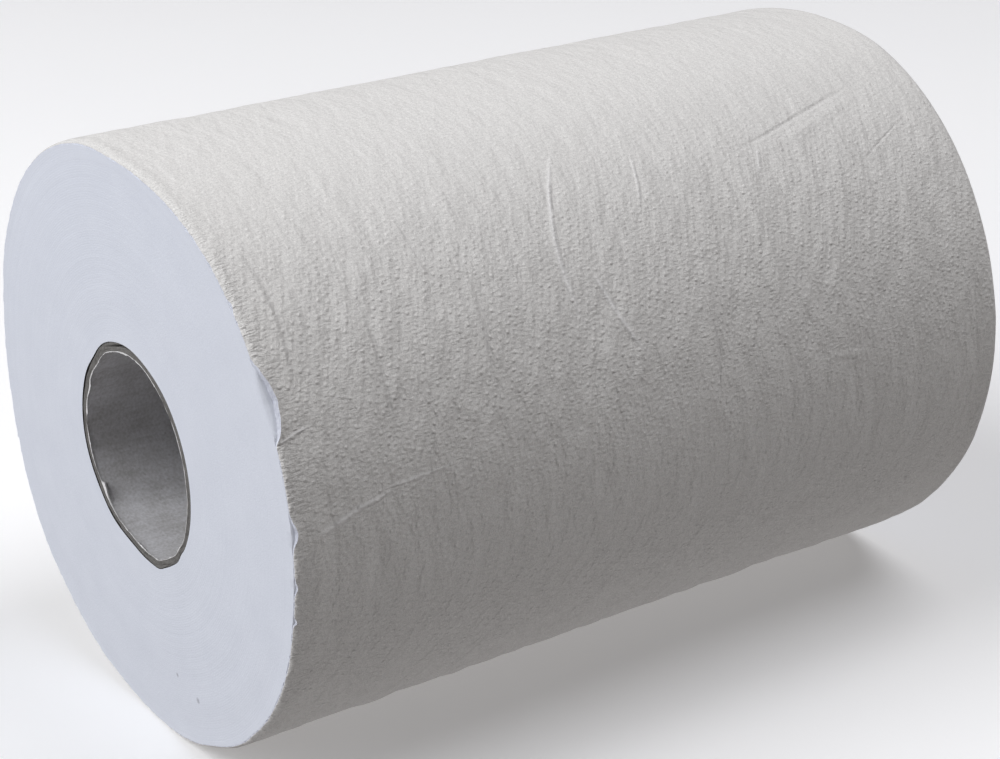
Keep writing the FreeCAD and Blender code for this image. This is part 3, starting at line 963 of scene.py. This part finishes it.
    def side(self) -> list[Ring]:
        """The outer sheet from the far rim to the near edge, which is worn, frayed and set back."""
        fray = self.fray * np.random.default_rng(41).uniform(0.0, 1.0, self.angle.shape) ** 2
        rounding = self.edge_rounding * (1.0 - smooth_step(0.1 * MM, 0.8 * MM, self.set_back))
        reach = 0.5 * MM + self.lip_depth * smooth_step(0.2 * MM, 1.6 * MM, self.lift)
        places = self.side_places()
        rings = []
        for place, radius in zip(places, self.outer(places[:, None] * self.flat)):
            raised = self.lift * np.clip(1.0 - place / reach, 0.0, 1.0) ** 1.6
            worn = math.exp(-place / self.wear_depth)
            shift = fray * worn + self.set_back * math.exp(-place / self.slip_depth)
            finish = WindingFinish.SHEET if place > 0.0 else WindingFinish.EDGE
            along = place - self.sizes.half_length + shift
            rings.append(Ring(radius + raised - rounding * worn, along, finish))
        return rings

    def lip(self, edge: Ring) -> list[Ring]:
        """The cut edges of the turns that slipped back, and the slope from them to the flat end.

        Args:
            edge: the outermost edge.
        Returns:
            The rings from it to the flat end's rim.
        """
        foot = edge.radius - self.lift - 0.5 * self.sheet_thickness - self.sink
        rings = []
        for share in np.linspace(0.0, 1.0, 10)[1:]:
            groove = 0.5 * (1.0 - math.cos(share * 3 * math.tau))
            along = edge.along + (0.12 * groove - 0.28 * share) * self.set_back
            finish = WindingFinish.EDGE if share < 1.0 else WindingFinish.TURNS
            rings.append(Ring(edge.radius * (1.0 - share) + foot * share, along, finish))
        inner = rings[-1].along
        for share in (0.75, 0.5, 0.25, 0.0):
            radius = foot - 0.42 * self.set_back * (1.0 - share) ** 2
            along = inner * share - self.sizes.half_length * (1.0 - share)
            rings.append(Ring(radius, along, WindingFinish.TURNS))
        return rings

    def face(self, rim: np.ndarray) -> list[Ring]:
        """The photographed end, from its rim to the hole, a little uneven from the saw."""
        hole = self.core.hole(self.angle, 1.0)
        rings = []
        for share in np.linspace(0.0, 1.0, self.face_rows + 1)[1:]:
            dip = 0.10 * MM * (1.0 + self.tremor.at(self.turn, share * self.flat))
            dip = dip * min(1.0, 6.0 * (1.0 - share) + 0.1)
            # The last ring starts the hole's wall, which takes the painted gap shade.
            finish = WindingFinish.TURNS if share < 1.0 else WindingFinish.GLUED
            rings.append(Ring(rim * (1.0 - share) + hole * share, dip - self.sizes.half_length, finish))
        return rings

    def hole(self) -> list[Ring]:
        """The hole that the core fills, from the near end to the far one."""
        rings = []
        for share in (-0.6, -0.2, 0.2, 0.6, 1.0):
            # The hole's wall takes the painted gap shade up to its far end.
            finish = WindingFinish.GLUED if share < 1.0 else WindingFinish.TURNS
            radius = self.core.hole(self.angle, self.core.near(share))
            rings.append(Ring(radius, share * self.sizes.half_length * self.flat, finish))
        return rings

    def far_end(self, side_end: np.ndarray) -> list[Ring]:
        """The far end, from the hole to the rim that rounds over into the side."""
        half = self.sizes.half_length
        rim = side_end - self.rim_radius
        hole = self.core.hole(self.angle, 0.0)
        rings = []
        for share in np.linspace(0.0, 1.0, 13)[1:]:
            dip = 0.08 * MM * (1.0 + self.tremor.at(self.turn, (1.0 - share) * self.flat))
            dip = dip * min(1.0, 4.0 * share)
            rings.append(Ring(hole * (1.0 - share) + rim * share, half - dip, WindingFinish.TURNS))
        for tilt in np.radians(np.linspace(90.0, 0.0, 7)[1:-1]):
            along = half - self.rim_radius * (1.0 - math.sin(tilt))
            radius = rim + self.rim_radius * math.cos(tilt)
            rings.append(Ring(radius, along * self.flat, WindingFinish.SHEET))
        return rings

    def build(self) -> bpy.types.Object:
        """Build the skin and dress it.

        Returns:
            The winding.
        """
        side = self.side()
        lip = self.lip(side[-1])
        rings = [*side, *lip, *self.face(lip[-1].radius), *self.hole(), *self.far_end(side[0].radius)]
        materials = [
            EmbossedPaper(self.sizes).material(),
            CutTurns(self.sizes).material(),
            PaperEdge().material(),
            # painted shade for the gap beside the core
            Greyboard(BoardPart.GLUED).material(),
        ]
        axis_height, radius = self.sizes.axis_height, self.sizes.mean_radius
        piece = ring_mesh("winding", rings, self.angle, axis_height, materials, radius)
        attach(piece, "root")
        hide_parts("towel_winding")
        return piece


class CoreFinish(IntEnum):
    """The core's materials, in the order in which it holds them."""

    WALL = 0
    INSIDE = 1
    FRAY = 2


@dataclass
class CoreTube:
    """The greyboard core, with its swollen plies and frayed liner at the photographed end.

    Args:
        sizes: the roll's sizes.
        shape: the core's section.
        columns: columns round the core.
        seam_pitch: how far the liner's seam runs along the core in one turn.
    """

    sizes: RollSizes
    shape: CoreShape
    columns: int = 400
    seam_pitch: float = 96.0 * MM

    def __post_init__(self) -> None:
        """Work out the columns' angles."""
        self.angle = np.arange(self.columns) * math.tau / self.columns
        self.degrees = np.degrees(self.angle)
        self.turn = self.angle / math.tau
        self.flat = np.ones(self.angle.shape)
        self.rough = SoftNoise(31, 80, 8)

    def fray(self) -> np.ndarray:
        """How far the liner's torn edge hangs into the bore, by column."""
        tufts = 0.02 + 0.16 * np.clip(SoftNoise(21, 70, 1).at(self.turn, 0.0 * self.turn), 0.0, 1.0)
        tufts = tufts + 0.22 * np.random.default_rng(77).uniform(0.0, 1.0, self.angle.shape) ** 4
        flake = 1.3 * smooth_step(217.0, 219.0, self.degrees) * smooth_step(232.0, 219.0, self.degrees)
        return (tufts + flake) * MM + NearEndWear.LINER_FLUFF.at(self.degrees)

    def flap(self) -> np.ndarray:
        """How far the torn liner's flap lies along the bore, by column."""
        flap = smooth_step(216.5, 218.5, self.degrees) * smooth_step(240.0, 217.0, self.degrees)
        return 0.6 * flap * MM

    def outside(self) -> list[Ring]:
        """The outside, from the far end to the near one."""
        rings = []
        for share in (1.0, 0.6, 0.2, -0.2, -0.6):
            radius = self.shape.outside(self.angle, self.shape.near(share))
            rings.append(Ring(radius, share * self.sizes.half_length * self.flat, CoreFinish.WALL))
        return rings

    def near_edge(self, outer: np.ndarray, wall: np.ndarray) -> list[Ring]:
        """The rough cut edge at the near end, where the plies have split apart.

        Args:
            outer: the core's outer radii there.
            wall: the wall's thickness there.
        Returns:
            Its rings from the outside to the liner.
        """
        half = self.sizes.half_length
        split = NearEndWear.SPLIT_PLIES.at(self.degrees)
        middle = np.interp(self.degrees, (88.0, 110.0, 263.0, 278.0), (0.14, 0.46, 0.34, 0.64))
        rings = [Ring(outer, 0.25 * MM - half * self.flat, CoreFinish.WALL)]
        for share in np.linspace(0.04, 0.96, 24):
            bite = 0.12 * MM * (1.0 + self.rough.at(self.turn, share * self.flat))
            groove = split * hump(0.0, 0.085, share - middle) + bite
            finish = CoreFinish.WALL if share < 0.93 else CoreFinish.FRAY
            rings.append(Ring(outer - wall * share, groove - half, finish))
        return rings

    def torn_liner(self, inner: np.ndarray) -> list[Ring]:
        """The liner's frayed edge, which curls into the bore at the near end."""
        fray = self.fray()
        curl = 0.25 * MM * (1.0 + self.rough.at(self.turn, 0.9 * self.flat)) * 0.4
        start = -self.sizes.half_length
        return [
            Ring(inner - 0.04 * MM, 0.75 * curl + start, CoreFinish.FRAY),
            Ring(inner - 0.55 * fray, 0.875 * curl + start, CoreFinish.FRAY),
            Ring(inner - fray, curl + 0.03 * MM + start, CoreFinish.FRAY),
            Ring(inner - fray, curl + 0.08 * MM + start, CoreFinish.FRAY),
            Ring(inner - 0.5 * fray, curl + 0.14 * MM + self.flap() + start, CoreFinish.INSIDE),
        ]

    def bore(self) -> list[Ring]:
        """The bore with the step of the liner's spiral seam, from the near end to the far one."""
        half = self.sizes.half_length
        flap = self.flap()
        unevenness = SoftNoise(37, 11, 12)
        rings = []
        for place in np.concatenate([[0.9, 1.6, 2.6, 4.0, 6.0], np.linspace(9.0, 198.0, 48)]) * MM:
            along = place - half + flap * math.exp(-place / (3.0 * MM))
            share = place / half - 1.0
            near = self.shape.near(share)
            radius = self.shape.outside(self.angle, near) - self.shape.wall(self.angle, near)
            phase = (self.turn - along / self.seam_pitch) % 1.0
            seam = 0.14 * MM * smooth_step(0.0, 0.012, phase) * smooth_step(0.55, 0.1, phase)
            dents = 0.10 * MM * unevenness.at(self.turn, (share + 1.0) / 2 * self.flat)
            radius = radius - seam - dents * min(1.0, place / (6.0 * MM))
            rings.append(Ring(radius, along, CoreFinish.INSIDE))
        return rings

    def far_edge(self) -> list[Ring]:
        """The plain cut edge at the far end."""
        rings = []
        for share in (0.97, 0.75, 0.5, 0.25, 0.03):
            bite = 0.08 * MM * (1.0 + self.rough.at(self.turn, share * self.flat))
            radius = self.shape.outside(self.angle, 0.0) - self.shape.wall(self.angle, 0.0) * share
            rings.append(Ring(radius, self.sizes.half_length - bite, CoreFinish.WALL))
        return rings

    def build(self) -> bpy.types.Object:
        """Build the tube and dress it.

        Returns:
            The core.
        """
        outer = self.shape.outside(self.angle, 1.0)
        wall = self.shape.wall(self.angle, 1.0)
        edge = self.near_edge(outer, wall)
        rings = [*self.outside(), *edge, *self.torn_liner(outer - wall), *self.bore(), *self.far_edge()]
        parts = (BoardPart.WALL, BoardPart.INSIDE, BoardPart.FRAY)
        materials = [Greyboard(part).material() for part in parts]
        piece = ring_mesh("core", rings, self.angle, self.sizes.axis_height, materials)
        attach(piece, "root")
        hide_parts("core_tube")
        return piece


@dataclass(frozen=True)
class PaleFloor:
    """Plain pale floor of the studio."""

    colour: Colour = (0.93, 0.93, 0.93, 1.0)
    shade_colour: Colour = (0.91, 0.91, 0.915, 1.0)

    def material(self) -> bpy.types.Material:
        """Make the floor's material."""
        sheet = NodeSheet.of_material("pale_floor")
        place = sheet.place()
        cloud = sheet.noise(place, 6.0, 2.0)
        colour = sheet.mix(cloud, self.shade_colour, self.colour)
        grain = sheet.noise(place, 400.0, 2.0) * (0.01 * MM)
        glow = {"Emission_Color": (1.0, 1.0, 1.0, 1.0), "Emission_Strength": 0.12}
        return sheet.finish(colour, 0.9, grain, Specular_IOR_Level=0.1, **glow)


class Lamp(Enum):
    """Soft lamps: direction towards the lamp, power and colour."""

    KEY = ((-0.22, -0.62, 0.74), 13.6, (0.985, 0.995, 1.02))
    FRONT = ((-0.12, -0.93, 0.34), 7.5, (0.985, 1.0, 1.03))
    TOP = ((0.16, 0.40, 0.90), 10.9, (0.985, 0.99, 1.02))


@dataclass
class Studio:
    """Floor, soft lamps, pale surroundings and the camera at the photograph's view.

    Args:
        target: where the camera and the lamps look.
        azimuth: the camera's azimuth in degrees.
        elevation: its elevation in degrees.
        distance: its distance from the target.
        lens: its focal length in millimetres on a sensor 36 mm wide.
        lamp_distance: distance of the lamps from the target.
        lamp_size: diameter of each lamp.
        surround: brightness of the surroundings from the side and above.
        surround_below: their brightness from below, as a pale floor gives it.
    """

    target: Vector = field(default_factory=lambda: Vector((-0.000235, 0.00008, 0.06046)))
    azimuth: float = 54.962
    elevation: float = 23.865
    distance: float = 0.57959
    lens: float = 84.24
    lamp_distance: float = 1.6
    lamp_size: float = 1.1
    surround: float = 0.165
    surround_below: float = 0.40

    def floor(self) -> bpy.types.Object:
        """Build the floor, a sheet that curves up far behind the roll."""
        floor_reach = 4.0
        steps = np.linspace(-floor_reach, floor_reach, 33)
        grid_x, grid_y = np.meshgrid(steps, steps, indexing="ij")
        rise = 0.5 * np.clip(np.hypot(grid_x, grid_y) - 2.5, 0.0, None) ** 2
        points = np.stack([grid_x, grid_y, rise - 0.05 * MM], axis=-1)
        index = np.arange(grid_x.size).reshape(grid_x.shape)
        quads = np.stack([index[:-1, :-1], index[1:, :-1], index[1:, 1:], index[:-1, 1:]], axis=-1)
        piece = new_piece("floor", points, quads, [PaleFloor().material()])
        piece.visible_diffuse = False
        piece.visible_shadow = False
        return piece

    def aim(self, thing: bpy.types.Object, place: Vector) -> None:
        """Put a lamp or the camera at a place and turn it to the target."""
        thing.location = place
        thing.rotation_euler = (self.target - place).to_track_quat("-Z", "Y").to_euler()
        bpy.context.scene.collection.objects.link(thing)

    def lamps(self) -> None:
        """Hang the soft lamps."""
        for lamp in Lamp:
            towards, power, colour = lamp.value
            light = bpy.data.lights.new(lamp.name.lower(), "AREA")
            light.shape = "DISK"
            light.size = self.lamp_size
            light.energy = power
            light.color = colour
            thing = bpy.data.objects.new(lamp.name.lower(), light)
            self.aim(thing, self.target + Vector(towards).normalized() * self.lamp_distance)

    def surroundings(self) -> None:
        """Give the studio its pale surroundings, which show their colours as they are."""
        bpy.context.scene.view_settings.view_transform = "Standard"
        world = bpy.data.worlds.new("studio")
        sheet = NodeSheet(world)
        _, _, up = sheet.parts(sheet.node("ShaderNodeTexCoord").outputs["Generated"])
        strength = up.rise(0.05, -0.45) * (self.surround_below - self.surround) + self.surround
        colour = (1.02, 0.99, 1.0, 1.0)
        light = sheet.node("ShaderNodeBackground", sockets={"Color": colour, "Strength": strength})
        sheet.node("ShaderNodeOutputWorld", sockets={"Surface": light.outputs[0]})
        bpy.context.scene.world = world

    def camera(self) -> None:
        """Set the camera at the photograph's view."""
        turn, tilt = math.radians(self.azimuth), math.radians(self.elevation)
        back = Vector((math.sin(turn) * math.cos(tilt), -math.cos(turn) * math.cos(tilt), math.sin(tilt)))
        lens = bpy.data.cameras.new("photo_view")
        lens.lens = self.lens
        lens.sensor_width = 36.0
        thing = bpy.data.objects.new("photo_view", lens)
        self.aim(thing, self.target + back * self.distance)
        bpy.context.scene.camera = thing


def main() -> None:
    """Build the roll's pieces and the studio, and report them."""
    logging.basicConfig(level=logging.INFO, format="%(name)s: %(message)s")
    sizes = RollSizes.from_frame()
    core = CoreShape(sizes)
    for builder in (TowelWinding(sizes, core), CoreTube(sizes, core)):
        piece = builder.build()
        LOG.info("%s: %d faces", piece.name, len(piece.data.polygons))
    studio = Studio()
    studio.floor()
    studio.lamps()
    studio.surroundings()
    studio.camera()


if __name__ == "__main__":
    main()
